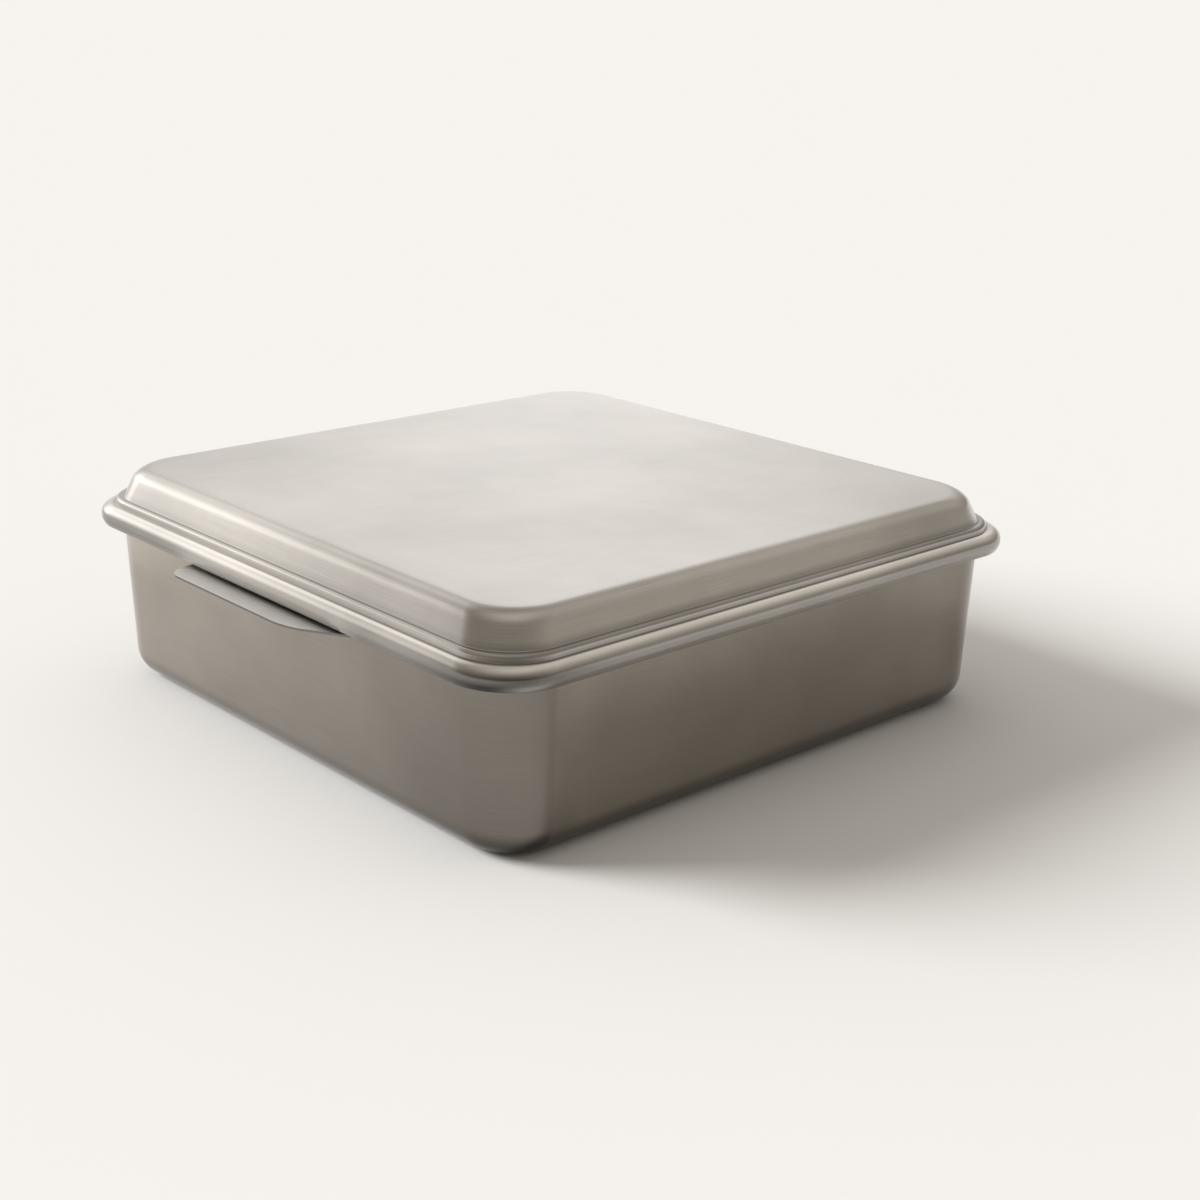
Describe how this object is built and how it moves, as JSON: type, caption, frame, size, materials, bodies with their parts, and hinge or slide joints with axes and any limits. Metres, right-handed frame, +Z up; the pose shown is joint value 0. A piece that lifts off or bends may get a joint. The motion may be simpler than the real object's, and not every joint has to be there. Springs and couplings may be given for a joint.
{
  "type": "covered cake pan",
  "caption": "Square stainless steel cake pan with drafted walls and a rolled rim, handle tabs under the rim, and a raised pressed cover that lifts off.",
  "frame": {"origin": "under the middle of the pan, on the surface it stands on", "axes": "+Z up; the handle tabs are on -X and +X; +Y runs along the tabs"},
  "size_m": [0.2566, 0.2416, 0.078],
  "materials": {
    "pan_steel": "satin drawn stainless steel with faint cloudy reflections",
    "tab_steel": "brushed stainless steel with deburred edges",
    "cover_steel": "satin pressed stainless steel, brighter on the rim bead"
  },
  "bodies": {
    "pan": {"pan_body": "pan_steel", "handle_tab_right": "tab_steel", "handle_tab_left": "tab_steel"},
    "lid": {"lid_shell": "cover_steel"}
  },
  "joints": [
    {"name": "lid_lift", "type": "slide", "parent": "pan", "child": "lid", "axis": [0, 0, 1], "range_m": [0, 0.12]}
  ]
}
